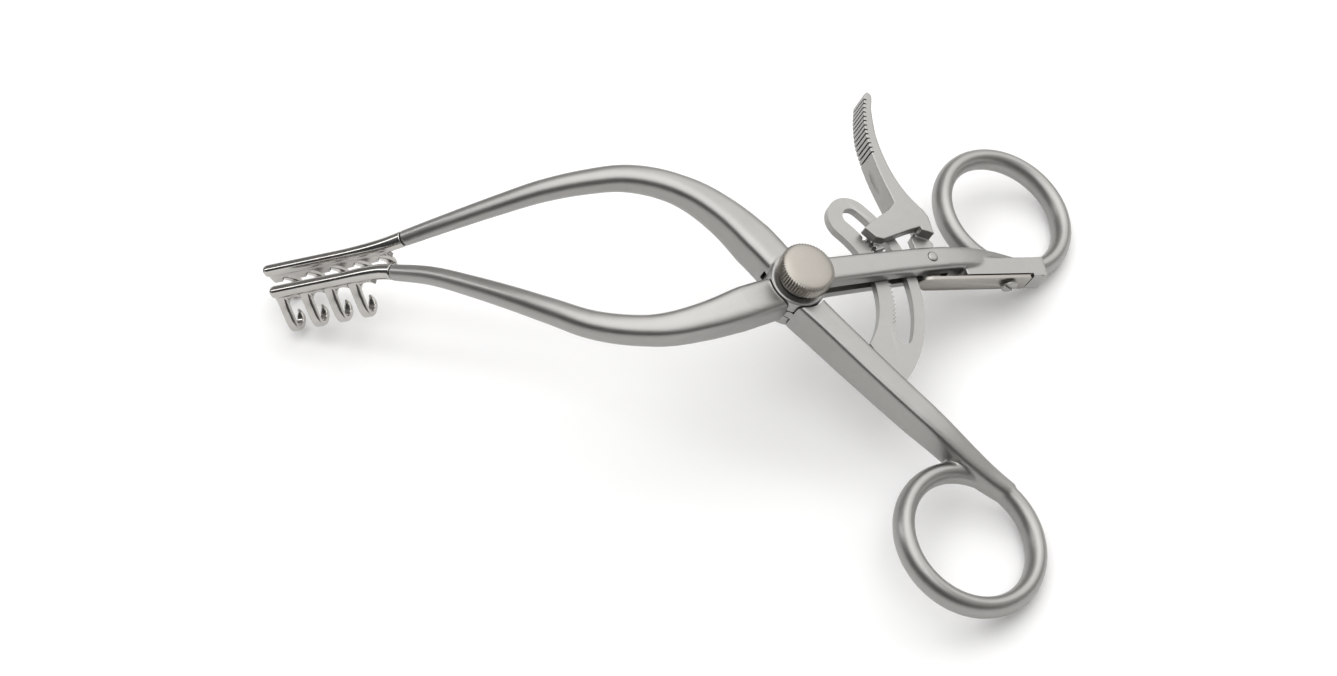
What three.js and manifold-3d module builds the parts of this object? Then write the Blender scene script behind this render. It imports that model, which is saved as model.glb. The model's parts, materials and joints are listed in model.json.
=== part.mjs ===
// Self-retaining ratcheted retractor with raked blades, millimetres, +Z up.
// Everything is drawn in the plane of the handles (pivot axis = local Z, handles towards +X, upper arm
// on +Y) and the whole group is then leaned over so that the finger rings and the prongs stand on z = 0.
import * as THREE from 'three';
import { mergeVertices } from 'three/addons/utils/BufferGeometryUtils.js';
import Module from 'manifold-3d';

const wasm = await Module();
wasm.setup();

// ---------- driving dimensions ----------
const CLEAR = 0.3;                  // gap between neighbouring pieces
const JOINT_HALF = 4.9;             // half thickness of the arms at the joint
const TONGUE_HALF = 1.1;            // half thickness of the tongue, plate and lever stem
const SLIT_HALF = TONGUE_HALF + CLEAR;
const BOSS_R = 7.2;                 // rounded cheeks under the thumb screw
const ARM_SPAN = 117.7;             // pivot to the far end of the longer blade bar, along local X
const ARM_DROP = 73.3;              // how far the longer blade's end hangs below the handle plane
const BOW_WIDE = 22.3;              // widest half spread of the bowed arms
const BAR_OFFSET = 3.9;             // blade bar centre from the mid-plane
const FINISH_X = 89.2;              // where the satin arm ends and the polished blade starts
const FINISH_DROP = 41;
const SHANK_W = 6.6;                // handle shank width
const SLIT_END = 43.5;              // far end of the slit from the pivot
const RING_X = 54.4;
const RING_Y = 48.9;
const RING_Z = -3;                  // finger rings sit a little lower than the joint
const RING_R = 17.3;                // finger ring centre-line radius
const RING_TUBE = 2.45;             // half width of the ring's section
const RING_HALF = 3.4;              // half height of the ring's section
const UPPER_PRONGS = 5;
const LOWER_PRONGS = 4;             // they sit between the upper blade's prongs
const PRONG_PITCH = 7.6;
const PRONG_FIRST = 1.4;            // first prong's centre from the bar end
const LOWER_START = 4.8;            // the lower bar is this much shorter
const PRONG_DEPTH = 11.6;           // lowest point of the hook below the bar centre
const PRONG_REACH = 4.2;            // how far the hook stands out from the bar centre
const PRONG_W = 2.6;
const BAR_W = 2.8;
const BAR_H = 3.2;
const PLATE_R1 = 23.0;              // ratchet plate: inner edge
const TOOTHED_W = 4.4;              // width of its toothed rim
const SLOT_W = 4.9;
const RIM_W = 2.9;                  // width of its plain outer rim
const PLATE_END = 66;               // degrees, centre of the rounded loop end
const PLATE_SLOT = -4;              // degrees, centre of the slot's lower end
const TOOTH_PITCH = 2.5;            // degrees
const TOOTH_DEPTH = 0.8;
const SPREAD = 30;                  // degrees the handles close, a whole number of tooth pitches
const PIN_X = 33.6;                 // lever pin
const PIN_Y = 21.6;
const PIN_R = 1.3;
const REST = 3;                     // degrees the pawl is held clear of the teeth as drawn
const LEVER_TOP = 4.2;
const GRIP_DEPTH = 6.8;             // the thumb grip is deeper than the block
const SERRATIONS = 13;
const SPRING_L = 31;                // leaf spring on the front face of the upper shank
const SPRING_T = 0.9;
const SPRING_H = 5.6;
const SPRING_SCREW = 25.3;          // screw position along the spring
const SPRING_MID = [32.1683, 18.4194]; // point of the shank's mid-line level with the spring's free end
const SPRING_ANGLE = 23.8;
const KNOB_R = 6.9;
const KNOB_H = 4.4;
const KNURLS = 44;
const WASHER_T = 1.1;
const SCREW_R = 2.3;
const RIVET_R = 1.0;

const RAD = Math.PI / 180;
const PLATE_R2 = PLATE_R1 + TOOTHED_W;
const PLATE_R3 = PLATE_R2 + SLOT_W;
const PLATE_R4 = PLATE_R3 + RIM_W;
const SPRING_AT = [SPRING_MID[0] + Math.sin(SPRING_ANGLE * RAD) * SHANK_W / 2,
  SPRING_MID[1] - Math.cos(SPRING_ANGLE * RAD) * SHANK_W / 2];

// ---------- small helpers ----------
function solid(geometry) {
  geometry.deleteAttribute('normal');
  geometry.deleteAttribute('uv');
  const merged = mergeVertices(geometry, 1e-5);
  return new wasm.Manifold(new wasm.Mesh({
    numProp: 3,
    vertProperties: Float32Array.from(merged.attributes.position.array),
    triVerts: Uint32Array.from(merged.index.array),
  }));
}

function geometryOf(manifold) {
  const mesh = manifold.getMesh();
  const geometry = new THREE.BufferGeometry();
  const stride = mesh.numProp;
  const positions = new Float32Array(mesh.vertProperties.length / stride * 3);
  for (let i = 0; i < positions.length / 3; i += 1) {
    for (let k = 0; k < 3; k += 1) {
      positions[3 * i + k] = mesh.vertProperties[stride * i + k];
    }
  }
  geometry.setAttribute('position', new THREE.BufferAttribute(positions, 3));
  geometry.setIndex(Array.from(mesh.triVerts));
  geometry.computeVertexNormals();
  return geometry;
}

function box(x0, x1, y0, y1, z0, z1) {
  const geometry = new THREE.BoxGeometry(x1 - x0, y1 - y0, z1 - z0);
  geometry.translate((x0 + x1) / 2, (y0 + y1) / 2, (z0 + z1) / 2);
  return solid(geometry);
}

function drum(radius, z0, z1, x = 0, y = 0, segments = 40) {
  const geometry = new THREE.CylinderGeometry(radius, radius, z1 - z0, segments);
  geometry.rotateX(Math.PI / 2);
  geometry.translate(x, y, (z0 + z1) / 2);
  return solid(geometry);
}

function slab(points, z0, z1) {
  const shape = new THREE.Shape(points.map(([x, y]) => new THREE.Vector2(x, y)));
  const geometry = new THREE.ExtrudeGeometry(shape, { depth: z1 - z0, bevelEnabled: false });
  geometry.translate(0, 0, z0);
  return solid(geometry);
}

function polar(radius, degrees) {
  return [radius * Math.cos(degrees * RAD), radius * Math.sin(degrees * RAD)];
}

function turned(points, degrees, [cx, cy]) {
  const c = Math.cos(degrees * RAD);
  const s = Math.sin(degrees * RAD);
  return points.map(([x, y]) => [
    cx + (x - cx) * c - (y - cy) * s,
    cy + (x - cx) * s + (y - cy) * c,
  ]);
}

function lerpTable(table, t) {
  for (let i = 1; i < table.length; i += 1) {
    if (t <= table[i][0]) {
      const [t0, ...a] = table[i - 1];
      const [t1, ...b] = table[i];
      const k = THREE.MathUtils.clamp((t - t0) / (t1 - t0), 0, 1);
      return a.map((value, n) => value + (b[n] - value) * k);
    }
  }
  return table[table.length - 1].slice(1);
}

// A cylinder bent along a curve; the table gives [t, half width, half height, squareness] along it.
function bent(points, table, along, around, level = new THREE.Vector3(0, 0, 1)) {
  const curve = new THREE.CatmullRomCurve3(points.map((p) => new THREE.Vector3(...p)), false, 'centripetal');
  const geometry = new THREE.CylinderGeometry(1, 1, 1, around, along, false);
  const position = geometry.attributes.position;
  const side = new THREE.Vector3();
  const up = new THREE.Vector3();
  for (let i = 0; i < position.count; i += 1) {
    const t = THREE.MathUtils.clamp(position.getY(i) + 0.5, 0, 1);
    const [w, h, n] = lerpTable(table, t);
    const tangent = curve.getTangentAt(t);
    side.crossVectors(tangent, level).normalize();
    up.crossVectors(side, tangent).normalize();
    const c = Math.round(position.getX(i) * 1e6) / 1e6;
    const s = Math.round(position.getZ(i) * 1e6) / 1e6;
    const a = w * Math.sign(c) * Math.abs(c) ** (2 / n);
    const b = h * Math.sign(s) * Math.abs(s) ** (2 / n);
    const p = curve.getPointAt(t).addScaledVector(side, a).addScaledVector(up, b);
    position.setXYZ(i, p.x, p.y, p.z);
  }
  const body = solid(geometry);
  return body.volume() < 0 ? body.mirror([0, 0, 1]) : body;
}

// ---------- arms ----------
const SHANK = [[0, 2.4, 0], [8, 7.1, 0], [20, 14, 0], [31.5, 20.4, 0], [42, 25.8, -0.2],
  [50, 29.3, -1.3], [57, 31.7, -2.4], [63, 33.4, -3]];
const BAR_ANGLE = Math.atan2(ARM_DROP - FINISH_DROP, ARM_SPAN - FINISH_X);
const BAR_LENGTH = Math.hypot(ARM_DROP - FINISH_DROP, ARM_SPAN - FINISH_X);
const BOW = [[-1, 2, 0], [-10.4, 9.2, -0.6], [-19, 0.7 * BOW_WIDE, -2.2], [-27.7, 0.91 * BOW_WIDE, -4.4],
  [-36, BOW_WIDE, -6.7], [-44.4, BOW_WIDE, -9.6], [-53, 19.9, -13.3], [-62, 16.6, -18.3],
  [-71, 12.6, -24.8], [-80.7, 8.3, -32.6], [-FINISH_X, 5.3, -FINISH_DROP]];
const BOW_TABLE = [[0, 4.4, 4.8, 3.4], [0.12, 4.7, 4.7, 3.4], [0.22, 4.0, 4.3, 2.9], [0.34, 3.4, 3.8, 2.4],
  [0.55, 2.95, 3.3, 2.1], [0.8, 2.4, 2.65, 2], [1, 2.0, 2.1, 2]];
const SHANK_TABLE = [[0, SHANK_W / 2 + 0.6, JOINT_HALF, 6], [0.15, SHANK_W / 2 + 0.2, JOINT_HALF, 5],
  [0.6, SHANK_W / 2, JOINT_HALF - 0.5, 4.5], [0.8, 3.0, 3.8, 3.4], [1, 2.4, 3.2, 2.2]];

function ring() {
  const geometry = new THREE.TorusGeometry(RING_R, RING_TUBE, 12, 40);
  geometry.scale(1, 1, RING_HALF / RING_TUBE);
  geometry.translate(RING_X, RING_Y, RING_Z);
  return solid(geometry);
}

function blank() {
  return bent(BOW, BOW_TABLE, 30, 16)
    .add(bent(SHANK, SHANK_TABLE, 14, 20))
    .add(ring())
    .add(drum(BOSS_R, -JOINT_HALF, JOINT_HALF, 0, 0, 48));
}

function shankBox(length, half, z0, z1) {
  const angle = Math.atan2(20.4 - 7.1, 31.5 - 8) / RAD;
  return box(0, length, -half, half, z0, z1).rotate([0, 0, angle]).translate([0, 2.6, 0]);
}

function upperArm() {
  let body = blank().add(onFront(box(12, 36, 0.2, 6, -3.4, 3.0)));
  body = body.subtract(drum(BOSS_R + 0.9, -SLIT_HALF, SLIT_HALF, 0, 0, 48));
  body = body.subtract(shankBox(SLIT_END, 9, -SLIT_HALF, SLIT_HALF));
  body = body.subtract(drum(SCREW_R + CLEAR, -10, 10));
  body = body.subtract(drum(PIN_R + CLEAR, -10, 10, PIN_X, PIN_Y, 20));
  body = body.subtract(onFront(box(-3, SPRING_L + 0.6, -9, SPRING_T + CLEAR, -9, 9)));
  return body.subtract(onFront(pinAcross(1.1 + CLEAR, -3, 6.3)));
}

function lowerArm() {
  let body = blank().mirror([0, 1, 0]);
  for (const [z0, z1] of [[TONGUE_HALF, 12], [-12, -TONGUE_HALF]]) {
    body = body.subtract(drum(BOSS_R + 0.4, z0, z1, 0, 0, 48));
    for (let turn = 0; turn <= SPREAD; turn += 10) {
      const cutter = shankBox(40, SHANK_W / 2 + 1.1, z0, z1);
      body = body.subtract(cutter.rotate([0, 0, -turn]));
    }
  }
  body = body.subtract(drum(SCREW_R + CLEAR, -10, 10));
  for (const [x, y] of RIVETS) {
    body = body.subtract(drum(RIVET_R + CLEAR, -10, TONGUE_HALF, x, y, 16));
  }
  return body.subtract(plateRoot(CLEAR, CLEAR));
}

// ---------- ratchet plate ----------
function arc(radius, from, to, step) {
  const points = [];
  const count = Math.max(1, Math.round(Math.abs(to - from) / step));
  for (let i = 0; i <= count; i += 1) {
    points.push(polar(radius, from + (to - from) * i / count));
  }
  return points;
}

const RIVETS = [[26.9, -16.4], [31.6, -19.0]];
const ROOT = [[21.5, -9.5], [23.4, -14.6], [27.2, -19.6], [33.0, -21.4], [35.2, -18.6], [33.9, -12.6]];

function plateRoot(gap, extra) {
  const grown = ROOT.map(([x, y]) => [x, y]);
  const cx = grown.reduce((sum, p) => sum + p[0], 0) / grown.length;
  const cy = grown.reduce((sum, p) => sum + p[1], 0) / grown.length;
  const scale = 1 + gap / 5;
  const outline = grown.map(([x, y]) => [cx + (x - cx) * scale, cy + (y - cy) * scale]);
  return slab(outline, -TONGUE_HALF - extra, TONGUE_HALF + extra);
}

function ratchetPlate() {
  const mid = (PLATE_R1 + PLATE_R4) / 2;
  const half = (PLATE_R4 - PLATE_R1) / 2;
  const [ex, ey] = polar(mid, PLATE_END);
  const outer = arc(PLATE_R4, -24, PLATE_END, 4);
  for (let i = 1; i < 10; i += 1) {
    const a = (PLATE_END + 18 * i) * RAD;
    outer.push([ex + half * Math.cos(a), ey + half * Math.sin(a)]);
  }
  outer.push(...arc(PLATE_R1, PLATE_END, -20, 4));
  let body = slab(outer, -TONGUE_HALF, TONGUE_HALF).add(plateRoot(0, 0));
  const slotMid = (PLATE_R2 + PLATE_R3) / 2;
  const slotHalf = (PLATE_R3 - PLATE_R2) / 2;
  const slot = arc(PLATE_R3, PLATE_SLOT, PLATE_END, 4);
  const [tx, ty] = polar(slotMid, PLATE_END);
  const [bx, by] = polar(slotMid, PLATE_SLOT);
  for (let i = 1; i < 8; i += 1) {
    const a = (PLATE_END + 22.5 * i) * RAD;
    slot.push([tx + slotHalf * Math.cos(a), ty + slotHalf * Math.sin(a)]);
  }
  slot.push(...arc(PLATE_R2, PLATE_END, 56, 3));
  for (let a = 55; a > 0; a -= TOOTH_PITCH) {
    slot.push(polar(PLATE_R2, a));
    slot.push(polar(PLATE_R2 - TOOTH_DEPTH, a - 1.6));
    slot.push(polar(PLATE_R2 - 0.1, a - TOOTH_PITCH + 0.3));
  }
  slot.push(polar(PLATE_R2, -0.5));
  for (let i = 1; i < 8; i += 1) {
    const a = (PLATE_SLOT - 180 + 22.5 * i) * RAD;
    slot.push([bx + slotHalf * Math.cos(a), by + slotHalf * Math.sin(a)]);
  }
  body = body.subtract(slab(slot, -5, 5));
  for (const [x, y] of RIVETS) {
    body = body.subtract(drum(RIVET_R + CLEAR, -5, 5, x, y, 16));
  }
  return body;
}

// ---------- release lever ----------
// The stem's foot follows the free end of the leaf spring that bears on it.
function pawlTeeth() {
  const points = [];
  for (let k = 3; k >= 0; k -= 1) {
    const a = 45 + TOOTH_PITCH * k;
    points.push(polar(PLATE_R2 + 0.3, a - 0.1));
    points.push(polar(PLATE_R2 - TOOTH_DEPTH + 0.3, a - 1.6));
    points.push(polar(PLATE_R2 + 0.3, a - TOOTH_PITCH + 0.5));
  }
  return points;
}

const GRIP_FRONT = [[21.6, 34.2], [16.9, 41.3], [13.7, 47.2], [11.4, 52.6], [10.3, 57.5], [9.8, 61.0], [9.6, 64.6]];
const GRIP_BACK = [[10.2, 65.7], [11.2, 65.5], [11.7, 64.7], [12.2, 60.5], [13.0, 57.3], [14.8, 51.9], [19.3, 44.0],
  [24.4, 38.4], [29.0, 35.2]];

// Slits across the front edge of the thumb grip, square to that edge.
function gripSlit(k) {
  const front = new THREE.CatmullRomCurve3(GRIP_FRONT.map(([x, y]) => new THREE.Vector3(x, y, 0)));
  const t = THREE.MathUtils.lerp(0.95, 0.45, k / (SERRATIONS - 1));
  const p = front.getPointAt(t);
  const slope = front.getTangentAt(t);
  const across = [slope.y, -slope.x];
  const corner = (a, b) => [p.x + a * across[0] + b * slope.x, p.y + a * across[1] + b * slope.y];
  return slab([corner(-1, -0.45), corner(0.9, -0.05), corner(0.9, 0.15), corner(-1, 0.45)], -4, 6);
}

function releaseLever() {
  const pin = [PIN_X, PIN_Y];
  const place = (points) => turned(points, -REST, pin);
  const pawl = [...pawlTeeth(), polar(PLATE_R3 - 2.2, 43), polar(PLATE_R3 - 2.2, 53)];
  const block = [[20.5, 31.2], [16.3, 25.2], [14.9, 23.0], [18.4, 21.4], [20.3, 21.7], [27.0, 27.6], [31.8, 31.4],
    [29.0, 35.2], [22.6, 36.4]];
  const neck = [...GRIP_FRONT, ...GRIP_BACK, [26, 33]];
  const foot = [[-0.3, 3.5], [3.1, 2.9], [4.4, 4.0]].map(([x, y]) => [SPRING_AT[0] + x, SPRING_AT[1] + y]);
  const stem = [[32.6, 29.2], [29.4, 31.6], [28.2, 27.2], [30.9, 22.9], [31.4, 20.0], ...foot,
    [37.3, 21.8], [35.4, 25.2], [34.2, 28.4]];
  const riser = [[33.0, 29.0], [30.6, 33.4], [28.6, 35.0], [25.2, 34.4], [29.6, 28.6]];
  const keepOut = drum(PLATE_R4 + 0.45, -3, SLIT_HALF, 0, 0, 72);
  let body = slab(block, SLIT_HALF, LEVER_TOP);
  body = body.add(slab(neck, LEVER_TOP - GRIP_DEPTH, LEVER_TOP).subtract(keepOut));
  body = body.add(slab(place(pawl), -TONGUE_HALF, SLIT_HALF + 0.4));
  body = body.add(slab(place(stem), -TONGUE_HALF, TONGUE_HALF));
  body = body.add(slab(place(riser), -TONGUE_HALF, LEVER_TOP));
  body = body.subtract(keepOut.subtract(slab(place(pawl), -3, SLIT_HALF)));
  for (let k = 0; k < SERRATIONS; k += 1) {
    body = body.subtract(gripSlit(k));
  }
  return body.subtract(drum(PIN_R + CLEAR, -10, 10, PIN_X, PIN_Y, 20));
}

// ---------- leaf spring and its screw ----------
// Local frame on the front face: x along the spring, y into the handle.
function onFront(manifold) {
  return manifold.rotate([0, 0, SPRING_ANGLE]).translate([SPRING_AT[0], SPRING_AT[1], 0]);
}

function pinAcross(radius, y0, y1) {
  const geometry = new THREE.CylinderGeometry(radius, radius, y1 - y0, 20);
  geometry.translate(SPRING_SCREW, (y0 + y1) / 2, 0);
  return solid(geometry);
}

function leafSpring() {
  const outline = [[-0.3, 1.5], [-0.4, 0.9], [0.0, 0.3], [0.8, 0], [SPRING_L, 0], [SPRING_L, SPRING_T],
    [1.3, SPRING_T], [0.8, 1.2], [0.6, 1.6]];
  const rounded = new THREE.CylinderGeometry(SPRING_H / 2, SPRING_H / 2, 9, 28);
  rounded.translate(SPRING_H / 2 - 0.5, 0, 0);
  const limits = solid(rounded).add(box(SPRING_H / 2 - 0.5, 60, -5, 5, -SPRING_H / 2, SPRING_H / 2));
  const strip = slab(outline, -SPRING_H / 2, SPRING_H / 2).intersect(limits);
  return onFront(strip.subtract(pinAcross(1.1 + CLEAR, -3, 3)));
}

function springScrew() {
  const head = new THREE.CylinderGeometry(2.2, 1.8, 1.1, 28);
  head.rotateX(Math.PI);
  head.translate(SPRING_SCREW, -CLEAR - 0.55, 0);
  const slot = box(-0.35, 0.35, -3, -CLEAR - 0.55, -4, 4).rotate([0, 35, 0]).translate([SPRING_SCREW, 0, 0]);
  return onFront(solid(head).add(pinAcross(1.1, -CLEAR - 0.1, 6)).subtract(slot));
}

// ---------- thumb screw and washer ----------
function thumbScrew() {
  const outline = [];
  for (let i = 0; i < KNURLS; i += 1) {
    const a = 360 / KNURLS * i;
    outline.push(polar(KNOB_R, a));
    outline.push(polar(KNOB_R - 0.42, a + 180 / KNURLS));
  }
  const z0 = JOINT_HALF + CLEAR + WASHER_T + CLEAR;
  const base = z0 + 0.6;
  const profile = [[0, z0], [4.4, z0], [4.4, base], [KNOB_R - 0.5, base], [KNOB_R + 0.2, base + 0.6],
    [KNOB_R + 0.2, base + KNOB_H - 1.0], [KNOB_R - 0.5, base + KNOB_H - 0.5], [4.5, base + KNOB_H - 0.15],
    [0, base + KNOB_H]];
  const lathe = new THREE.LatheGeometry(profile.map(([x, y]) => new THREE.Vector2(x, y)), 44);
  lathe.rotateX(Math.PI / 2);
  let form = solid(lathe);
  if (form.volume() < 0) {
    form = form.mirror([0, 0, 1]);
  }
  const head = form.intersect(slab(outline, base - 0.01, 20).add(drum(4.4, 0, base)));
  return head.add(drum(SCREW_R, -JOINT_HALF, z0 + 0.5));
}

function thrustWasher() {
  const z0 = JOINT_HALF + CLEAR;
  return drum(5.2, z0, z0 + WASHER_T).subtract(drum(SCREW_R + CLEAR, 0, 10));
}

// ---------- raked blades ----------
// Local frame: x from the bar end towards the pivot, y outward, z away from the prongs.
function prong(x) {
  const out = PRONG_REACH;
  const low = PRONG_DEPTH;
  const path = [[x, 0, -0.5], [x, 0.2 * out, -0.26 * low], [x, 0.62 * out, -0.52 * low], [x, 0.95 * out, -0.75 * low],
    [x, out, -0.89 * low], [x, 0.7 * out, -low + 0.1], [x, 0.24 * out, -low + 0.1], [x, -0.1 * out, -0.88 * low],
    [x, -0.24 * out, -0.77 * low]];
  const half = PRONG_W / 2;
  const table = [[0, 0.8, half + 0.1, 3.4], [0.5, 0.72, half, 3.2], [0.7, 0.68, half - 0.1, 3], [0.86, 0.6, half - 0.35, 2.6],
    [1, 0.18, 0.16, 2]];
  return bent(path, table, 14, 10, new THREE.Vector3(1, 0, 0));
}

// All that lies on the arm's side of its flat end, and one clearance beyond it.
function finishBlock() {
  const curve = new THREE.CatmullRomCurve3(BOW.map((p) => new THREE.Vector3(...p)), false, 'centripetal');
  const geometry = new THREE.BoxGeometry(16, 16, 16);
  geometry.translate(0, 0, CLEAR - 8);
  const outward = curve.getTangentAt(1);
  geometry.applyQuaternion(new THREE.Quaternion().setFromUnitVectors(new THREE.Vector3(0, 0, 1), outward));
  geometry.translate(-FINISH_X, 5.3, -FINISH_DROP);
  return solid(geometry);
}

function rake(start, prongs) {
  const end = BAR_LENGTH - 0.42;
  const bar = bent([[start, 0, 0], [14, 0, 0], [26, 0, 0], [end - 9, 0.1, 0.1], [end - 4, 0.5, 0.15], [end, 1.3, 0.05]],
    [[0, BAR_W / 2 - 0.2, BAR_H / 2 - 0.2, 2.6], [0.03, BAR_W / 2, BAR_H / 2, 2.6], [0.6, BAR_W / 2, BAR_H / 2, 2.6],
      [1, 2.0, 2.1, 2]], 14, 16);
  const first = start + PRONG_FIRST;
  const last = first + PRONG_PITCH * (prongs - 1);
  let web = box(start + 0.1, last + PRONG_W, -0.85, 0.85, -4.2, -0.2);
  const radius = (PRONG_PITCH - PRONG_W) / 2;
  for (let k = 0; k < prongs; k += 1) {
    const arch = new THREE.CylinderGeometry(radius, radius, 6, 20);
    arch.translate(first + PRONG_PITCH * (k + 0.5), 0, -4.9);
    web = web.subtract(solid(arch));
  }
  for (let k = 0; k < prongs; k += 1) {
    web = web.add(prong(first + PRONG_PITCH * k));
  }
  return bar.add(web)
    .rotate([0, -BAR_ANGLE / RAD, 0])
    .translate([-ARM_SPAN, BAR_OFFSET, -ARM_DROP])
    .subtract(finishBlock());
}

// ---------- the assembly ----------
const SATIN = { color: 0xb9b6b0, metalness: 0.9, roughness: 0.42 };
const POLISHED = { color: 0xd0cfcc, metalness: 1.0, roughness: 0.12 };
const WARM = { color: 0xb5aea3, metalness: 0.9, roughness: 0.38 };

function rivets() {
  return RIVETS.map(([x, y]) => drum(RIVET_R, -JOINT_HALF + 0.1, TONGUE_HALF - CLEAR, x, y, 16));
}

const pieces = [
  ['lower_arm', lowerArm(), SATIN],
  ['lower_rake', rake(LOWER_START, LOWER_PRONGS).mirror([0, 1, 0]), POLISHED],
  ['upper_arm', upperArm(), SATIN],
  ['upper_rake', rake(0, UPPER_PRONGS), POLISHED],
  ['ratchet_plate', ratchetPlate(), SATIN],
  ['release_lever', releaseLever(), SATIN],
  ['lever_pin', drum(PIN_R, -JOINT_HALF + 0.1, JOINT_HALF - 0.1, PIN_X, PIN_Y, 20), SATIN],
  ['leaf_spring', leafSpring(), WARM],
  ['spring_screw', springScrew(), SATIN],
  ['thumb_screw', thumbScrew(), WARM],
  ['thrust_washer', thrustWasher(), SATIN],
];
rivets().forEach((body, i) => pieces.push([`plate_rivet_${i + 1}`, body, SATIN]));

// Lean the handle plane over so the instrument stands on its rings and prong ends; the origin is the
// middle of its footprint.
function leanAngle(front, back) {
  const lowest = (body, angle) => body.rotate([0, angle, 0]).boundingBox().min[2];
  let [low, high] = [0, 60];
  while (high - low > 1e-4) {
    const middle = (low + high) / 2;
    if (lowest(front, middle) < lowest(back, middle)) {
      low = middle;
    } else {
      high = middle;
    }
  }
  return low;
}

const bodyOf = (wanted) => pieces.find(([name]) => name === wanted)[1];
const lean = leanAngle(bodyOf('upper_rake'), bodyOf('upper_arm'));
const placed = pieces.map(([name, body, look]) => [name, body.rotate([0, lean, 0]), look]);
const low = [0, 1, 2].map((axis) => Math.min(...placed.map(([, body]) => body.boundingBox().min[axis])));
const high = [0, 1, 2].map((axis) => Math.max(...placed.map(([, body]) => body.boundingBox().max[axis])));
const shift = [-(low[0] + high[0]) / 2, -(low[1] + high[1]) / 2, -low[2]];

const retractor = new THREE.Group();
retractor.name = 'self_retaining_retractor';
retractor.userData.lean = lean;
for (const [name, body, look] of placed) {
  const mesh = new THREE.Mesh(geometryOf(body.translate(shift)), new THREE.MeshStandardMaterial(look));
  mesh.name = name;
  retractor.add(mesh);
}

export default retractor;
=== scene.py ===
import json
import math
import bmesh
import bpy
from mathutils import Matrix, Vector
from mathutils.geometry import interpolate_bezier


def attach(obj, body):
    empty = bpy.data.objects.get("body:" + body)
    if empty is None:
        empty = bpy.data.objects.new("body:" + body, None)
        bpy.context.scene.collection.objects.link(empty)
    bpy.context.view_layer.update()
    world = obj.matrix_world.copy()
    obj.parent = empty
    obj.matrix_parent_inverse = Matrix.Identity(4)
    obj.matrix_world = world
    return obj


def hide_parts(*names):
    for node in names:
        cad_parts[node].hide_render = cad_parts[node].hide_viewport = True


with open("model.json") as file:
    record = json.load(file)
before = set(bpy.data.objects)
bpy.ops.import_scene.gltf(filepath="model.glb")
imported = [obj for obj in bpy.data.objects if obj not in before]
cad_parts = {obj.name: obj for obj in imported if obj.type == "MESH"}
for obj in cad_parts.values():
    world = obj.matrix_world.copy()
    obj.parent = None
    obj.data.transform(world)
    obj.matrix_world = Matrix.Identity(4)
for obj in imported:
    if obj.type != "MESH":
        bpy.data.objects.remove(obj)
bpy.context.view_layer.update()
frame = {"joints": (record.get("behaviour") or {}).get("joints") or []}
scene = bpy.context.scene

# ---------- sizes, millimetres in the plane of the handles ----------
# Origin on the pivot, X towards the finger rings, Y towards the slotted arm, Z along the pivot.
CLEAR = 0.3
JOINT_HALF = 4.9
TONGUE_HALF = 1.1
SLIT_HALF = TONGUE_HALF + CLEAR
BOSS_R = 7.2
ARM_SPAN, ARM_DROP = 117.7, 73.3
FINISH_X, FINISH_DROP = 89.2, 41
BOW_WIDE = 22.3
BAR_OFFSET = 3.9
SHANK_W = 6.6
SLIT_END = 43.5
RING_X, RING_Y, RING_Z = 54.4, 48.9, -3
RING_R, RING_TUBE, RING_HALF = 17.3, 2.45, 3.4
PRONG_PITCH, PRONG_FIRST, LOWER_START = 7.6, 1.4, 4.8
PRONG_DEPTH, PRONG_REACH, PRONG_W = 11.6, 4.2, 2.6
BAR_W, BAR_H = 2.8, 3.2
PLATE_R1, PLATE_R2, PLATE_R3, PLATE_R4 = 23.0, 27.4, 32.3, 35.2
PLATE_END, PLATE_SLOT, TOOTH_PITCH, TOOTH_DEPTH = 66, -4, 2.5, 0.8
SPREAD = 30
PIN = (33.6, 21.6)
PIN_R = 1.3
REST = 3
LEVER_TOP, GRIP_DEPTH, SERRATIONS = 4.2, 6.8, 13
SPRING_L, SPRING_T, SPRING_H, SPRING_SCREW = 31, 0.9, 5.6, 25.3
SPRING_AT = (33.5, 15.4)
SPRING_ANGLE = 23.8
KNOB_R, KNOB_H, KNURLS = 6.9, 4.4, 56
WASHER_T, SCREW_R = 1.1, 2.3
RIVET_R = 1.0
ARM_GRAIN, BLADE_GRAIN, LEVER_GRAIN = 0.33, 0.16, 0.17      # mesh fineness of the moulded pieces
PLATE_EDGE, SPRING_EDGE, SCREW_EDGE = 0.12, 0.14, 0.06      # broken edges
RIVETS = ((26.9, -16.4), (31.6, -19.0))
BAR_ANGLE = math.atan2(ARM_DROP - FINISH_DROP, ARM_SPAN - FINISH_X)
BAR_LENGTH = math.hypot(ARM_DROP - FINISH_DROP, ARM_SPAN - FINISH_X)

SHANK = [(0, 2.4, 0), (8, 7.1, 0), (20, 14, 0), (31.5, 20.4, 0), (42, 25.8, -0.2), (50, 29.3, -1.3),
         (57, 31.7, -2.4), (63, 33.4, -3)]
BOW = [(-1, 2, 0), (-10.4, 9.2, -0.6), (-19, 0.7 * BOW_WIDE, -2.2), (-27.7, 0.91 * BOW_WIDE, -4.4),
       (-36, BOW_WIDE, -6.7), (-44.4, BOW_WIDE, -9.6), (-53, 19.9, -13.3), (-62, 16.6, -18.3),
       (-71, 12.6, -24.8), (-80.7, 8.3, -32.6), (-FINISH_X, 5.3, -FINISH_DROP)]
BOW_TABLE = [(0, 4.4, 4.8, 4.4), (0.12, 4.7, 4.7, 4.4), (0.22, 4.0, 4.3, 3.6), (0.34, 3.4, 3.8, 2.6),
             (0.55, 2.95, 3.3, 2.2), (0.8, 2.4, 2.65, 2), (1, 2.0, 2.1, 2)]
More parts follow.
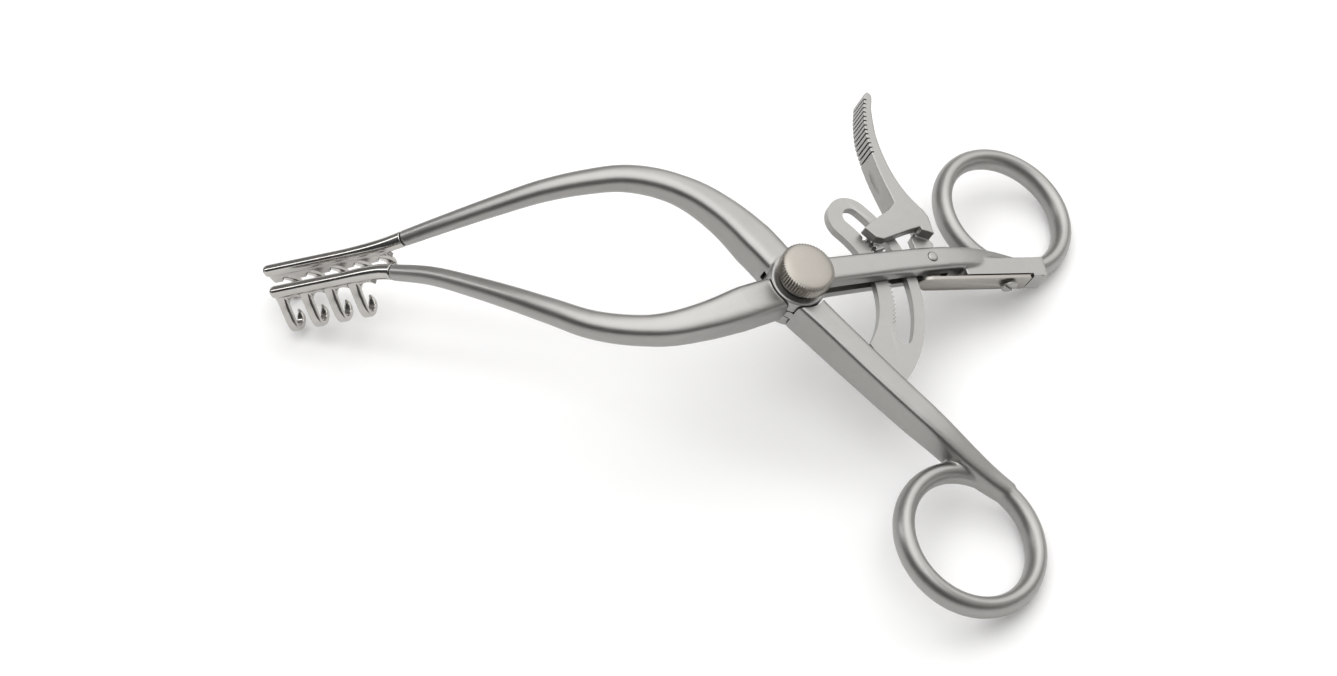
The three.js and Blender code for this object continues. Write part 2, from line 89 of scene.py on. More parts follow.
SHANK_TABLE = [(0, SHANK_W / 2 + 0.6, JOINT_HALF, 8), (0.15, SHANK_W / 2 + 0.2, JOINT_HALF, 7),
               (0.6, SHANK_W / 2, JOINT_HALF - 0.5, 6), (0.8, 3.0, 3.8, 4.4), (1, 2.4, 3.2, 2.6)]


# ---------- the frame of the handles ----------
def joint(name):
    return next(entry for entry in frame["joints"] if entry["name"] == name)


PIVOT = Vector(joint("arm_spread")["pos_m"])
UP = -Vector(joint("arm_spread")["axis"]).normalized()
MM = 0.001
HANDLES = Matrix.Translation(PIVOT) @ Matrix(
    ((UP.z, 0, UP.x), (0, 1, 0), (-UP.x, 0, UP.z))).to_4x4() @ Matrix.Scale(MM, 4)


# ---------- camera, light and floor ----------
# The eye's place and directions are in the frame of the handles too.
EYE = Vector((-129.86, -310.75, 405.4))
EYE_RIGHT = Vector((0.92384, 0.16174, 0.34692))
EYE_AHEAD = Vector((0.202, 0.56386, -0.80079))


def make_camera():
    data = bpy.data.cameras.new("eye")
    data.lens = 58.7
    data.sensor_width = 36
    data.clip_start = 0.01
    camera = bpy.data.objects.new("eye", data)
    scene.collection.objects.link(camera)
    turn = HANDLES.to_3x3().normalized()
    back = -(turn @ EYE_AHEAD).normalized()
    right = turn @ EYE_RIGHT
    right = (right - back * right.dot(back)).normalized()
    facing = Matrix((right, back.cross(right), back)).transposed().to_4x4()
    camera.matrix_world = Matrix.Translation(HANDLES @ EYE) @ facing
    scene.camera = camera


def softbox(name, place, aim, size, power):
    light = bpy.data.lights.new(name, "AREA")
    light.shape = "RECTANGLE"
    light.size, light.size_y = size
    light.energy = power
    lamp = bpy.data.objects.new(name, light)
    lamp.location = place
    lamp.rotation_euler = (Vector(aim) - Vector(place)).to_track_quat("-Z", "Y").to_euler()
    scene.collection.objects.link(lamp)


def make_studio():
    world = bpy.data.worlds.new("studio")
    world.use_nodes = True
    nodes, links = world.node_tree.nodes, world.node_tree.links
    where = nodes.new("ShaderNodeTexCoord")
    facing = nodes.new("ShaderNodeVectorMath")
    facing.operation = "DOT_PRODUCT"
    facing.inputs[1].default_value = (0.25, 0.45, 0.85)
    links.new(where.outputs["Generated"], facing.inputs[0])
    ramp = nodes.new("ShaderNodeValToRGB")
    ramp.color_ramp.elements[0].position = 0.05
    ramp.color_ramp.elements[0].color = (0.10, 0.103, 0.107, 1)
    ramp.color_ramp.elements[1].position = 0.85
    ramp.color_ramp.elements[1].color = (1.0, 0.99, 0.97, 1)
    links.new(facing.outputs["Value"], ramp.inputs[0])
    links.new(ramp.outputs[0], nodes["Background"].inputs[0])
    nodes["Background"].inputs[1].default_value = 0.75
    scene.world = world
    softbox("back_window", (0.35, 0.55, 0.55), (0.02, 0, 0), (1.0, 0.7), 2.2)
    softbox("overhead", (-0.05, 0.0, 0.9), (0, 0, 0), (1.2, 1.0), 6.0)
    softbox("left_strip", (-0.6, 0.05, 0.35), (-0.02, 0, 0.02), (0.12, 0.5), 0.7)
    bm = bmesh.new()
    bmesh.ops.create_grid(bm, x_segments=1, y_segments=1, size=3)
    mesh = bpy.data.meshes.new("table_top")
    bm.to_mesh(mesh)
    bm.free()
    floor = bpy.data.objects.new("table_top", mesh)
    scene.collection.objects.link(floor)
    paper = bpy.data.materials.new("white_paper")
    paper.use_nodes = True
    paper.node_tree.nodes["Principled BSDF"].inputs["Base Color"].default_value = (0.95, 0.95, 0.95, 1)
    paper.node_tree.nodes["Principled BSDF"].inputs["Roughness"].default_value = 0.9
    mesh.materials.append(paper)


# ---------- shader maths ----------
class Shade:
    """One output of a node; maths written on it adds Math nodes to the same finish."""

    def __init__(self, finish, socket):
        self.finish = finish
        self.socket = socket

    def maths(self, operation, first, second):
        return self.finish.node("ShaderNodeMath", {"operation": operation}, {0: first, 1: second})

    def __add__(self, other):
        return self.maths("ADD", self, other)

    def __radd__(self, other):
        return self.maths("ADD", other, self)

    def __sub__(self, other):
        return self.maths("SUBTRACT", self, other)

    def __rsub__(self, other):
        return self.maths("SUBTRACT", other, self)

    def __mul__(self, other):
        return self.maths("MULTIPLY", self, other)

    def __rmul__(self, other):
        return self.maths("MULTIPLY", other, self)


class Finish:
    """A material: its nodes come from node(), and its constants sit on the shader's own sockets."""

    def __init__(self, name, **constants):
        self.material = bpy.data.materials.new(name)
        self.material.use_nodes = True
        self.tree = self.material.node_tree
        self.shader = self.tree.nodes["Principled BSDF"]
        for socket, value in constants.items():
            self.shader.inputs[socket.replace("_", " ")].default_value = value

    def node(self, kind, settings=None, inputs=None, output=0):
        made = self.tree.nodes.new(kind)
        for key, value in (settings or {}).items():
            setattr(made, key, value)
        for key, value in (inputs or {}).items():
            if isinstance(value, Shade):
                self.tree.links.new(value.socket, made.inputs[key])
            else:
                made.inputs[key].default_value = value
        return Shade(self, made.outputs[output])

    def place(self, scale=(1, 1, 1), turn=(0, 0, 0)):
        where = self.node("ShaderNodeTexCoord", output="Object")
        return self.node("ShaderNodeMapping", {}, {"Vector": where, "Scale": scale, "Rotation": turn})

    def noise(self, vector, scale, detail=2.0, roughness=0.5):
        return self.node("ShaderNodeTexNoise", {},
                         {"Vector": vector, "Scale": scale, "Detail": detail, "Roughness": roughness})

    def blend(self, factor, dark, light):
        ends = {0: factor, 6: (*dark, 1), 7: (*light, 1)}
        return self.node("ShaderNodeMix", {"data_type": "RGBA"}, ends, output=2)

    def feed(self, socket, value):
        self.tree.links.new(value.socket, self.shader.inputs[socket])

    def relief(self, height, depth, strength):
        bump = self.node("ShaderNodeBump", {}, {"Height": height, "Distance": depth, "Strength": strength})
        self.feed("Normal", bump)


def satin_steel(name, dark, light, rough, grain=5200, strength=0.35):
    """Glass-beaded steel: tiny dimples, faint clouds, and slightly smoother handled patches."""
    finish = Finish(name, Metallic=1.0)
    where = finish.place()
    clouds = finish.noise(where, 70, 3)
    patches = finish.noise(where, 380, 4, 0.6)
    beads = finish.noise(where, grain, 2)
    tone = clouds * 0.45 + patches * 0.35 + beads * 0.2
    finish.feed("Base Color", finish.blend(tone, dark, light))
    finish.feed("Roughness", (rough - 0.09) + clouds * 0.08 + patches * 0.06 + beads * 0.05)
    finish.relief(beads * 0.7 + patches * 0.3, 0.00004, strength)
    return finish.material


def polished_steel(name):
    """Mirror-polished blades with faint wipe marks along them."""
    finish = Finish(name, Metallic=1.0)
    streaks = finish.noise(finish.place((60, 900, 420), (0, -BAR_ANGLE, 0)), 3, 3, 0.6)
    haze = finish.noise(finish.place(), 240, 3)
    finish.feed("Base Color", finish.blend(haze, (0.40, 0.386, 0.368), (0.52, 0.505, 0.482)))
    finish.feed("Roughness", 0.07 + streaks * 0.10 + haze * 0.08)
    finish.relief(streaks * 0.5 + haze * 0.5, 0.00003, 0.12)
    return finish.material


def knob_steel(name):
    """Fine satin with short scratches running in many directions."""
    finish = Finish(name, Metallic=1.0)
    where = finish.place()
    clouds = finish.noise(where, 110, 3)
    one = finish.noise(finish.place((900, 12000, 900), (0.2, 0.4, 0.5)), 1, 2)
    two = finish.noise(finish.place((12000, 900, 900), (0.1, 0.4, 1.3)), 1, 2)
    beads = finish.noise(where, 4600, 2)
    scratches = (one + two) * 0.5
    tone = clouds * 0.4 + scratches * 0.6
    finish.feed("Base Color", finish.blend(tone, (0.25, 0.232, 0.208), (0.42, 0.397, 0.365)))
    finish.feed("Roughness", 0.20 + clouds * 0.10 + scratches * 0.22)
    finish.relief(scratches * 0.6 + beads * 0.4, 0.00004, 0.30)
    return finish.material


# ---------- shaping helpers ----------
def lerp_table(table, t):
    for before, after in zip(table, table[1:]):
        if t <= after[0]:
            k = min(1, max(0, (t - before[0]) / (after[0] - before[0])))
            return [a + (b - a) * k for a, b in zip(before[1:], after[1:])]
    return table[-1][1:]


def smooth_path(points, steps):
    """Evenly spaced (point, direction) pairs on one smooth curve through the points."""
    points = [Vector(p) for p in points]
    points = [2 * points[0] - points[1], *points, 2 * points[-1] - points[-2]]
    fine = []
    for p0, p1, p2, p3 in zip(points, points[1:], points[2:], points[3:]):
        d0, d1, d2 = (math.sqrt((b - a).length) for a, b in ((p0, p1), (p1, p2), (p2, p3)))
        start = ((p1 - p0) / d0 - (p2 - p0) / (d0 + d1) + (p2 - p1) / d1) * d1
        end = ((p2 - p1) / d1 - (p3 - p1) / (d1 + d2) + (p3 - p2) / d2) * d1
        fine += interpolate_bezier(p1, p1 + start / 3, p2 - end / 3, p2, 40)[:-1]
    fine.append(points[-2])
    run = [0]
    for a, b in zip(fine, fine[1:]):
        run.append(run[-1] + (b - a).length)
    stations = []
    k = 0
    for step in range(steps + 1):
        goal = run[-1] * step / steps
        while k < len(fine) - 2 and run[k + 1] < goal:
            k += 1
        share = (goal - run[k]) / (run[k + 1] - run[k])
        stations.append((fine[k].lerp(fine[k + 1], share), (fine[k + 1] - fine[k]).normalized()))
    return stations


def section(bm, verts, angle, centre, side, up, shape):
    """Moves one ring of vertices onto a rounded-square section."""
    half_w, half_h, square = shape
    for vert in verts:
        c, s = math.cos(vert[angle]), math.sin(vert[angle])
        a = half_w * math.copysign(abs(c) ** (2 / square), c)
        b = half_h * math.copysign(abs(s) ** (2 / square), s)
        vert.co = centre + side * a + up * b


def loft(bm, points, table, around, steps, level=(0, 0, 1)):
    """A ring of vertices extruded along a path and closed at both ends."""
    angle = bm.verts.layers.float.get("angle") or bm.verts.layers.float.new("angle")
    ring = bmesh.ops.create_circle(bm, segments=around, radius=1, cap_ends=False)["verts"]
    for vert in ring:
        vert[angle] = math.atan2(vert.co.y, vert.co.x)
    edges = list({edge for vert in ring for edge in vert.link_edges})
    rims = [edges]
    for step, (centre, along) in enumerate(smooth_path(points, steps)):
        if step:
            made = bmesh.ops.extrude_edge_only(bm, edges=edges)["geom"]
            ring = [item for item in made if isinstance(item, bmesh.types.BMVert)]
            edges = [item for item in made if isinstance(item, bmesh.types.BMEdge)]
        side = along.cross(Vector(level)).normalized()
        section(bm, ring, angle, centre, side, side.cross(along), lerp_table(table, step / steps))
    rims.append(edges)
    for rim in rims:
        bmesh.ops.contextual_create(bm, geom=rim)


def slab(bm, points, z0, z1, turn=None):
    """An outline drawn flat and extruded upwards."""
    face = bm.faces.new([bm.verts.new((x, y, z0)) for x, y in points])
    made = bmesh.ops.extrude_face_region(bm, geom=[face])["geom"]
    top = [item for item in made if isinstance(item, bmesh.types.BMVert)]
    bmesh.ops.translate(bm, verts=top, vec=(0, 0, z1 - z0))
    verts = list(face.verts) + top
    if turn:
        bmesh.ops.transform(bm, matrix=turn, verts=verts)
    return verts


def drum(bm, radius, z0, z1, x=0, y=0, segments=96, turn=None):
    spot = Matrix.Translation((x, y, (z0 + z1) / 2))
    if turn:
        spot = turn @ spot
    bmesh.ops.create_cone(bm, cap_ends=True, segments=segments, radius1=radius, radius2=radius,
                          depth=z1 - z0, matrix=spot)


def brick(bm, x0, x1, y0, y1, z0, z1, turn=None):
    spot = Matrix.Translation(((x0 + x1) / 2, (y0 + y1) / 2, (z0 + z1) / 2))
    size = Matrix.Diagonal((x1 - x0, y1 - y0, z1 - z0, 1))
    bmesh.ops.create_cube(bm, size=1, matrix=(turn or Matrix()) @ spot @ size)


def polar(radius, degrees):
    return radius * math.cos(math.radians(degrees)), radius * math.sin(math.radians(degrees))


def arc(radius, start, end, step=1.5, centre=(0, 0)):
    count = max(1, round(abs(end - start) / step))
    spots = [polar(radius, start + (end - start) * i / count) for i in range(count + 1)]
    return [(centre[0] + x, centre[1] + y) for x, y in spots]


def turned(points, degrees, centre):
    c, s = math.cos(math.radians(degrees)), math.sin(math.radians(degrees))
    cx, cy = centre
    return [(cx + (x - cx) * c - (y - cy) * s, cy + (x - cx) * s + (y - cy) * c) for x, y in points]


def object_of(bm, name):
    bmesh.ops.recalc_face_normals(bm, faces=bm.faces)
    mesh = bpy.data.meshes.new(name)
    bm.to_mesh(mesh)
    bm.free()
    made = bpy.data.objects.new(name, mesh)
    scene.collection.objects.link(made)
    return made


def drawn(name, draw):
    """An object from a function that draws into a new bmesh."""
    bm = bmesh.new()
    draw(bm)
    return object_of(bm, name)


def modified(piece, *steps):
    """Adds each (kind, settings) modifier and applies them all."""
    for kind, settings in steps:
        modifier = piece.modifiers.new(kind.lower(), kind)
        for key, value in settings.items():
            setattr(modifier, key, value)
    shape = bpy.data.meshes.new_from_object(piece.evaluated_get(bpy.context.evaluated_depsgraph_get()))
    piece.modifiers.clear()
    piece.data = shape
    return piece


def moulded(piece, voxel, passes):
    """Fuses overlapping shells into one skin and smooths it."""
    return modified(piece, ("REMESH", {"mode": "VOXEL", "voxel_size": voxel}),
                    ("SMOOTH", {"factor": 0.5, "iterations": passes}))


def cut(piece, draws, operation="DIFFERENCE"):
    """Cuts each drawn shape out of the piece, or joins it on."""
    cutters = [drawn("cutter", draw) for draw in draws]
    steps = [("BOOLEAN", {"operation": operation, "object": cutter, "solver": "MANIFOLD"}) for cutter in cutters]
    modified(piece, *steps)
    for cutter in cutters:
        bpy.data.objects.remove(cutter)
    return piece


def bevelled(piece, width, segments=2, angle=35):
    return modified(piece, ("BEVEL", {"width": width, "segments": segments, "limit_method": "ANGLE",
                                      "angle_limit": math.radians(angle), "use_clamp_overlap": True}))


def settled(piece, body, node, material, crease=38):
    """Puts a finished piece in the row frame, with its shading, its body and its finish."""
    bm = bmesh.new()
    bm.from_mesh(piece.data)
    bmesh.ops.remove_doubles(bm, verts=bm.verts, dist=1e-5)
    bmesh.ops.transform(bm, matrix=HANDLES, verts=bm.verts)
    for face in bm.faces:
        face.smooth = True
    for edge in bm.edges:
        edge.smooth = len(edge.link_faces) == 2 and edge.calc_face_angle(0) < math.radians(crease)
    bm.to_mesh(piece.data)
    bm.free()
    piece.data.materials.clear()
    piece.data.materials.append(material)
    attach(piece, body)
    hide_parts(node)


# ---------- arms ----------
def arm_blank(bm):
    loft(bm, BOW, BOW_TABLE, 56, 150)
    loft(bm, SHANK, SHANK_TABLE, 56, 60)
    drum(bm, BOSS_R, -JOINT_HALF, JOINT_HALF)
    half = [(RING_R + x * RING_TUBE, z * (RING_HALF - 0.1)) for x, z in arc(1, 0, 360, 9)[:-1]]
    rim = [bm.verts.new((RING_X + x, RING_Y, RING_Z + z)) for x, z in half]
    loop = [bm.edges.new((a, b)) for a, b in zip(rim, rim[1:] + rim[:1])]
    bmesh.ops.spin(bm, geom=rim + loop, cent=(RING_X, RING_Y, 0), axis=(0, 0, 1), dvec=(0, 0, 0),
                   angle=math.tau, steps=160, use_merge=True)


ON_FRONT = Matrix.Translation((*SPRING_AT, 0)) @ Matrix.Rotation(math.radians(SPRING_ANGLE), 4, "Z")
SHANK_TURN = math.atan2(20.4 - 7.1, 31.5 - 8)


def shank_brick(bm, length, half, z0, z1, turn=0.0):
    place = (Matrix.Rotation(-turn, 4, "Z") @ Matrix.Translation((0, 2.6, 0))
             @ Matrix.Rotation(SHANK_TURN, 4, "Z"))
    brick(bm, 0, length, -half, half, z0, z1, place)


def upper_arm():
    def forged(bm):
        arm_blank(bm)
        brick(bm, 12, 36, 0.2, 6, -3.4, 3.0, ON_FRONT)

    arm = moulded(drawn("upper_arm_steel", forged), ARM_GRAIN, 7)
    cuts = [
        lambda bm: drum(bm, BOSS_R + 0.9, -SLIT_HALF, SLIT_HALF),
        lambda bm: shank_brick(bm, SLIT_END, 9, -SLIT_HALF, SLIT_HALF),
        lambda bm: drum(bm, SCREW_R + CLEAR, -10, 10),
        lambda bm: drum(bm, PIN_R + 0.12, -10, 10, *PIN, 40),
        lambda bm: brick(bm, -3, SPRING_L + 0.6, -9, SPRING_T + CLEAR, -9, 9, ON_FRONT),
    ]
    settled(cut(arm, cuts), "upper", "upper_arm", SATIN)


def lower_arm():
    def forged(bm):
        arm_blank(bm)
        bmesh.ops.transform(bm, matrix=Matrix.Diagonal((1, -1, 1, 1)), verts=bm.verts)

    arm = moulded(drawn("lower_arm_steel", forged), ARM_GRAIN, 7)
    cuts = []
    for z0, z1 in ((TONGUE_HALF, 12), (-12, -TONGUE_HALF)):
        cuts.append(lambda bm, z0=z0, z1=z1: drum(bm, BOSS_R + 0.4, z0, z1))
        for turn in range(0, SPREAD + 1, 10):
            cuts.append(lambda bm, z0=z0, z1=z1, turn=turn:
                        shank_brick(bm, 40, SHANK_W / 2 + 1.1, z0, z1, math.radians(turn)))
    cuts.append(lambda bm: drum(bm, SCREW_R + CLEAR, -10, 10))
    for x, y in RIVETS:
        cuts.append(lambda bm, x=x, y=y: drum(bm, RIVET_R + 0.1, -10, TONGUE_HALF, x, y, 32))
    settled(cut(arm, cuts), "lower", "lower_arm", SATIN)


# ---------- raked blades ----------
# Local frame: x from the bar end towards the pivot, y outward, z away from the prongs.
def prong(bm, x):
    out, low = PRONG_REACH, PRONG_DEPTH
    path = [(x, 0, -0.5), (x, 0.2 * out, -0.26 * low), (x, 0.62 * out, -0.52 * low), (x, 0.95 * out, -0.75 * low),
            (x, out, -0.89 * low), (x, 0.7 * out, -low + 0.32), (x, 0.24 * out, -low + 0.32),
            (x, -0.1 * out, -0.88 * low), (x, -0.24 * out, -0.77 * low)]
    half = PRONG_W / 2
    table = [(0, 0.8, half + 0.1, 6), (0.5, 0.72, half, 6), (0.7, 0.68, half, 5),
             (0.88, 0.62, half - 0.15, 4), (1, 0.3, 0.3, 2)]
    loft(bm, path, table, 32, 60, level=(1, 0, 0))


def rake_outline(start, first, count):
    """The thin web under the bar, with a round arch between each pair of prongs."""
    low, top = -4.2, -0.2
    radius = (PRONG_PITCH - PRONG_W) / 2
    half = math.degrees(math.asin(0.7 / radius))
    points = [(start + 0.1, top), (start + 0.1, low)]
    for k in range(count):
        centre = first + PRONG_PITCH * (k + 0.5)
        points += arc(radius, 180 - half, half, 9, (centre, low - 0.7))
    return points + [(first + PRONG_PITCH * count - radius, top)]


def rake(name, start, count, side, body, node):
    first = start + PRONG_FIRST
    end = BAR_LENGTH - 0.04

    def forged(bm):
        loft(bm,
             [(start, 0, 0), (14, 0, 0), (26, 0, 0), (end - 9, 0.1, 0.1), (end - 4, 0.5, 0.15), (end, 1.3, 0.05)],
             [(0, BAR_W / 2 - 0.15, BAR_H / 2 - 0.15, 2.8), (0.02, BAR_W / 2, BAR_H / 2, 2.8),
              (0.6, BAR_W / 2, BAR_H / 2, 2.6), (1, 2.0, 2.1, 2)], 40, 90)
        slab(bm, rake_outline(start, first, count), -0.85, 0.85, Matrix.Rotation(math.pi / 2, 4, "X"))
        for k in range(count):
            prong(bm, first + PRONG_PITCH * k)
        place = (Matrix.Diagonal((1, side, 1, 1)) @ Matrix.Translation((-ARM_SPAN, BAR_OFFSET, -ARM_DROP))
                 @ Matrix.Rotation(-BAR_ANGLE, 4, "Y"))
        bmesh.ops.transform(bm, matrix=place, verts=bm.verts)

    settled(moulded(drawn(name, forged), BLADE_GRAIN, 6), body, node, POLISHED)


# ---------- ratchet plate ----------
def plate_root(bm, half=TONGUE_HALF):
    outline = [(21.5, -9.5), (23.4, -14.6), (27.2, -19.6), (33.0, -21.4), (34.2, -19.6), (31.6, -15.0)]
    slab(bm, outline, -half, half)


def ratchet_plate():
    mid, half = (PLATE_R1 + PLATE_R4) / 2, (PLATE_R4 - PLATE_R1) / 2
    slot_mid, slot_half = (PLATE_R2 + PLATE_R3) / 2, (PLATE_R3 - PLATE_R2) / 2
    outer = arc(PLATE_R4, -29, PLATE_END) + arc(half, PLATE_END, PLATE_END + 180, 8, polar(mid, PLATE_END))[1:-1]
    outer += arc(PLATE_R1, PLATE_END, -20)
    slot = arc(PLATE_R3, PLATE_SLOT, PLATE_END)
    slot += arc(slot_half, PLATE_END, PLATE_END + 180, 10, polar(slot_mid, PLATE_END))[1:-1]
    slot += arc(PLATE_R2, PLATE_END, 56)
    a = 55
    while a > 0:
        slot += [polar(PLATE_R2, a), polar(PLATE_R2 - TOOTH_DEPTH, a - 1.6),
                 polar(PLATE_R2 - 0.1, a - TOOTH_PITCH + 0.3)]
        a -= TOOTH_PITCH
    slot.append(polar(PLATE_R2, -0.5))
    slot += arc(slot_half, PLATE_SLOT - 180, PLATE_SLOT, 10, polar(slot_mid, PLATE_SLOT))[1:-1]
    plate = drawn("toothed_arc", lambda bm: slab(bm, outer, -TONGUE_HALF, TONGUE_HALF))
    cut(plate, [plate_root], "UNION")
    holes = [lambda bm, x=x, y=y: drum(bm, RIVET_R + 0.1, -5, 5, x, y, 32) for x, y in RIVETS]
    cut(plate, [lambda bm: slab(bm, slot, -5, 5), *holes])
    settled(bevelled(plate, PLATE_EDGE), "lower", "ratchet_plate", SATIN)


# ---------- release lever ----------
GRIP_FRONT = [(21.6, 34.2), (16.9, 41.3), (13.7, 47.2), (11.4, 52.6), (10.3, 57.5), (9.8, 61.0), (9.6, 64.6)]
GRIP_BACK = [(10.2, 65.7), (11.2, 65.5), (11.7, 64.7), (12.2, 60.5), (13.0, 57.3), (14.8, 51.9), (19.3, 44.0),
             (24.4, 38.4), (29.0, 35.2)]


def grip_curve(points, steps):
    return [(spot.x, spot.y) for spot, _ in smooth_path([(x, y, 0) for x, y in points], steps)]


def grip_slits():
    stations = smooth_path([(x, y, 0) for x, y in GRIP_FRONT], 400)
    draws = []
    for k in range(SERRATIONS):
        spot, along = stations[round(400 * (0.95 + (0.45 - 0.95) * k / (SERRATIONS - 1)))]
        across = Vector((along.y, -along.x, 0))
        corners = [spot + across * a + along * b for a, b in ((-1, -0.42), (0.85, -0.08), (0.85, 0.16), (-1, 0.42))]
        draws.append(lambda bm, corners=corners: slab(bm, [(c.x, c.y) for c in corners], -4, 6))
    return draws


def release_lever():
    teeth = []
    for k in range(3, -1, -1):
        a = 45 + TOOTH_PITCH * k
        teeth += [polar(PLATE_R2 + 0.3, a - 0.1), polar(PLATE_R2 - TOOTH_DEPTH + 0.3, a - 1.6),
                  polar(PLATE_R2 + 0.3, a - TOOTH_PITCH + 0.5)]
    pawl = turned([*teeth, polar(30.1, 43), polar(30.1, 53)], -REST, PIN)
    block = [(20.5, 31.2), (16.3, 25.2), (14.9, 23.0), (18.4, 21.4), (20.3, 21.7), (27.0, 27.6), (31.8, 31.4),
             (29.0, 35.2), (22.6, 36.4)]
    neck = grip_curve(GRIP_FRONT, 40) + grip_curve(GRIP_BACK, 40) + [(26, 33)]
    stem = turned([(32.6, 29.2), (29.4, 31.6), (28.2, 27.2), (30.9, 22.9), (31.4, 20.0), (33.2, 18.9),
                   (36.6, 18.3), (37.9, 19.4), (37.3, 21.8), (35.4, 25.2), (34.2, 28.4)], -REST, PIN)
    riser = turned([(33.0, 29.0), (30.6, 33.4), (28.6, 35.0), (25.2, 34.4), (29.6, 28.6)], -REST, PIN)

    lever = drawn("lever_steel", lambda bm: slab(bm, neck, LEVER_TOP - GRIP_DEPTH, LEVER_TOP))

    def keep_out(bm):
        drum(bm, PLATE_R4 + 0.45, -3, SLIT_HALF, segments=180)

    cut(lever, [lambda bm: slab(bm, block, SLIT_HALF, LEVER_TOP)], "UNION")
    cut(lever, [lambda bm: slab(bm, stem, -TONGUE_HALF, TONGUE_HALF),
                lambda bm: slab(bm, riser, -TONGUE_HALF, LEVER_TOP)], "UNION")
    cut(lever, [keep_out])
    cut(lever, [lambda bm: slab(bm, pawl, -TONGUE_HALF, SLIT_HALF + 0.4)], "UNION")
    moulded(lever, LEVER_GRAIN, 3)
    cuts = grip_slits() + [
        lambda bm: drum(bm, PIN_R + 0.12, -10, 10, *PIN, 40),
        lambda bm: bmesh.ops.create_uvsphere(bm, u_segments=48, v_segments=32, radius=1, matrix=(
            Matrix.Translation((16.2, 40.9, 0.8)) @ Matrix.Rotation(math.radians(-58), 4, "Z")
            @ Matrix.Diagonal((7.2, 1.1, 2.3, 1)))),
    ]
    settled(cut(lever, cuts), "lever", "release_lever", SATIN)


# ---------- leaf spring and fasteners ----------
def leaf_spring():
    half = SPRING_H / 2
    plan = arc(half, 90, 270, 7.5, (half - 0.5, 0)) + [(SPRING_L - 0.4, -half), (SPRING_L, -half + 0.4)]
    plan += [(SPRING_L, half - 0.4), (SPRING_L - 0.4, half)]
    stand = Matrix.Translation((0, SPRING_T, 0)) @ Matrix.Rotation(math.pi / 2, 4, "X")
    spring = drawn("leaf_spring_strip", lambda bm: slab(bm, plan, 0, SPRING_T, stand))
    across = Matrix.Rotation(math.pi / 2, 4, "X")
    cut(spring, [lambda bm: drum(bm, 1.25, -3, 3, SPRING_SCREW, 0, 40, across)])
    bevelled(spring, SPRING_EDGE, 3)
    for vert in spring.data.vertices:
        lift = max(0.0, 2.2 - vert.co.x) / 2.7
        vert.co.y += 0.75 * lift * lift
        vert.co = ON_FRONT @ vert.co
    settled(spring, "spring", "leaf_spring", SPRING)


def lathed(bm, profile, steps, matrix=None):
    """Spins a profile of (radius, height) that starts and ends on the axis."""
    chain = [bm.verts.new((r, 0, z)) for r, z in profile]
    edges = [bm.edges.new(pair) for pair in zip(chain, chain[1:])]
    bmesh.ops.spin(bm, geom=chain + edges, cent=(0, 0, 0), axis=(0, 0, 1), dvec=(0, 0, 0), angle=math.tau,
                   steps=steps, use_merge=True)
    bmesh.ops.remove_doubles(bm, verts=bm.verts, dist=1e-4)
    if matrix:
        bmesh.ops.transform(bm, matrix=matrix, verts=bm.verts)


def spring_screw():
    out = ON_FRONT @ Matrix.Translation((SPRING_SCREW, 0, 0)) @ Matrix.Rotation(math.pi / 2, 4, "X")
    profile = [(0, -6), (0.9, -6), (1.1, -5.8), (1.1, 0.32), (1.75, 0.34), (2.05, 0.5), (2.2, 0.85), (2.12, 1.15),
               (1.8, 1.33), (1.2, 1.4), (0, 1.42)]
    screw = drawn("spring_screw_head", lambda bm: lathed(bm, profile, 64, out))
    slot = out @ Matrix.Rotation(math.radians(-35), 4, "Z")
    cut(screw, [lambda bm: brick(bm, -4, 4, -0.32, 0.32, 0.75, 3, slot)])
    settled(bevelled(screw, SCREW_EDGE), "upper", "spring_screw", SATIN)


def pin(name, radius, z0, z1, x, y, body, node):
    edge = 0.16
    profile = [(0, z0), (0.6 * radius, z0 + 0.02), (radius - edge, z0 + 0.08), (radius, z0 + 0.08 + edge),
               (radius, z1 - 0.08 - edge), (radius - edge, z1 - 0.08), (0.6 * radius, z1 - 0.02), (0, z1)]
    made = drawn(name, lambda bm: lathed(bm, profile, 48, Matrix.Translation((x, y, 0))))
    settled(made, body, node, SATIN)


def washer():
    z0, t, c = JOINT_HALF + CLEAR, WASHER_T, 0.15
    outer, inner = 5.2, SCREW_R + 0.1
    profile = [(inner, z0), (outer - c, z0), (outer, z0 + c), (outer, z0 + t - c), (outer - c, z0 + t), (inner, z0 + t),
               (inner, z0)]
    ring = drawn("washer_ring", lambda bm: lathed(bm, profile, 120))
    settled(ring, "upper", "thrust_washer", SATIN)


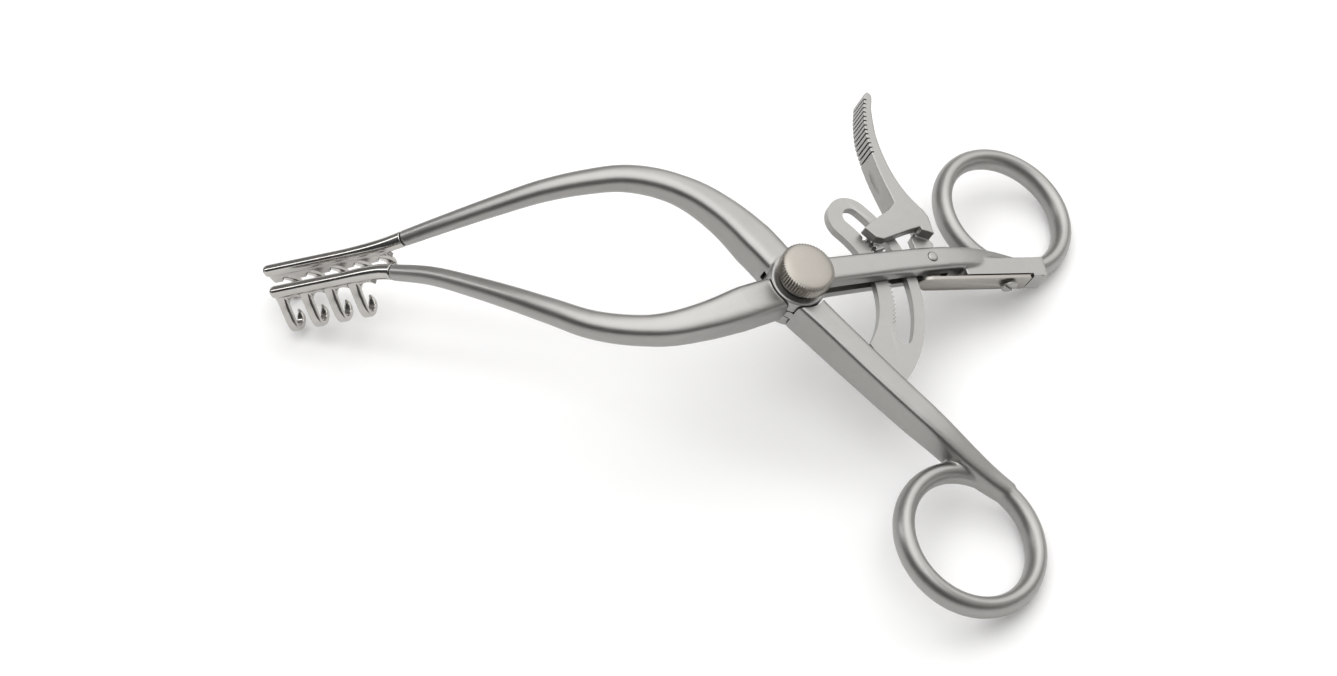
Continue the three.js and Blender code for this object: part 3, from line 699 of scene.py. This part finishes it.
def thumb_screw():
    z0 = JOINT_HALF + CLEAR + WASHER_T + CLEAR
    base = z0 + 0.6
    top = base + KNOB_H
    r = KNOB_R
    profile = [(4.4, z0), (4.4, base, 0), (r - 0.75, base + 0.02, 0), (r - 0.35, base + 0.25, 0.3),
               (r - 0.05, base + 0.6, 1), (r, base + 1.0, 1), (r, top - 1.35, 1), (r - 0.05, top - 1.0, 1),
               (r - 0.3, top - 0.72, 0.4), (r - 0.7, top - 0.5, 0), (r - 1.3, top - 0.34, 0), (4.4, top - 0.17, 0),
               (3.0, top - 0.07, 0), (1.5, top - 0.02, 0), (0.4, top, 0)]

    def shaped(bm):
        drum(bm, SCREW_R, -JOINT_HALF, z0 + 0.4)
        angle = bm.verts.layers.float.new("angle")
        ring = bmesh.ops.create_circle(bm, segments=KNURLS * 6, radius=1, cap_ends=True)["verts"]
        for vert in ring:
            vert[angle] = math.atan2(vert.co.y, vert.co.x)
        edges = list({edge for vert in ring for edge in vert.link_edges})
        for k, (radius, z, *ridge) in enumerate(profile):
            if k:
                made = bmesh.ops.extrude_edge_only(bm, edges=edges)["geom"]
                ring = [item for item in made if isinstance(item, bmesh.types.BMVert)]
                edges = [item for item in made if isinstance(item, bmesh.types.BMEdge)]
            for vert in ring:
                wave = abs((vert[angle] * KNURLS / math.tau) % 1 - 0.5) * 2
                size = radius - 0.5 * sum(ridge) * wave ** 1.3
                vert.co = (size * math.cos(vert[angle]), size * math.sin(vert[angle]), z)
        bmesh.ops.contextual_create(bm, geom=edges)

    settled(drawn("thumb_screw_knob", shaped), "knob", "thumb_screw", KNOB, crease=50)


make_camera()
make_studio()
scene.view_settings.view_transform = "Standard"

SATIN = satin_steel("beaded_steel", (0.28, 0.275, 0.266), (0.40, 0.393, 0.38), 0.38)
SPRING = satin_steel("smooth_satin_steel", (0.30, 0.285, 0.262), (0.39, 0.373, 0.347), 0.32, 3600, 0.2)
POLISHED = polished_steel("mirror_steel")
KNOB = knob_steel("turned_knob_steel")

lower_arm()
upper_arm()
rake("upper_blade", 0, 5, 1, "upper", "upper_rake")
rake("lower_blade", LOWER_START, 4, -1, "lower", "lower_rake")
ratchet_plate()
release_lever()
leaf_spring()
spring_screw()
washer()
thumb_screw()
pin("lever_hinge_pin", PIN_R, -JOINT_HALF + 0.1, JOINT_HALF - 0.1, *PIN, "upper", "lever_pin")
for i, (x, y) in enumerate(RIVETS, 1):
    pin(f"plate_root_rivet_{i}", RIVET_R, -JOINT_HALF + 0.1, TONGUE_HALF - CLEAR, x, y, "lower", f"plate_rivet_{i}")
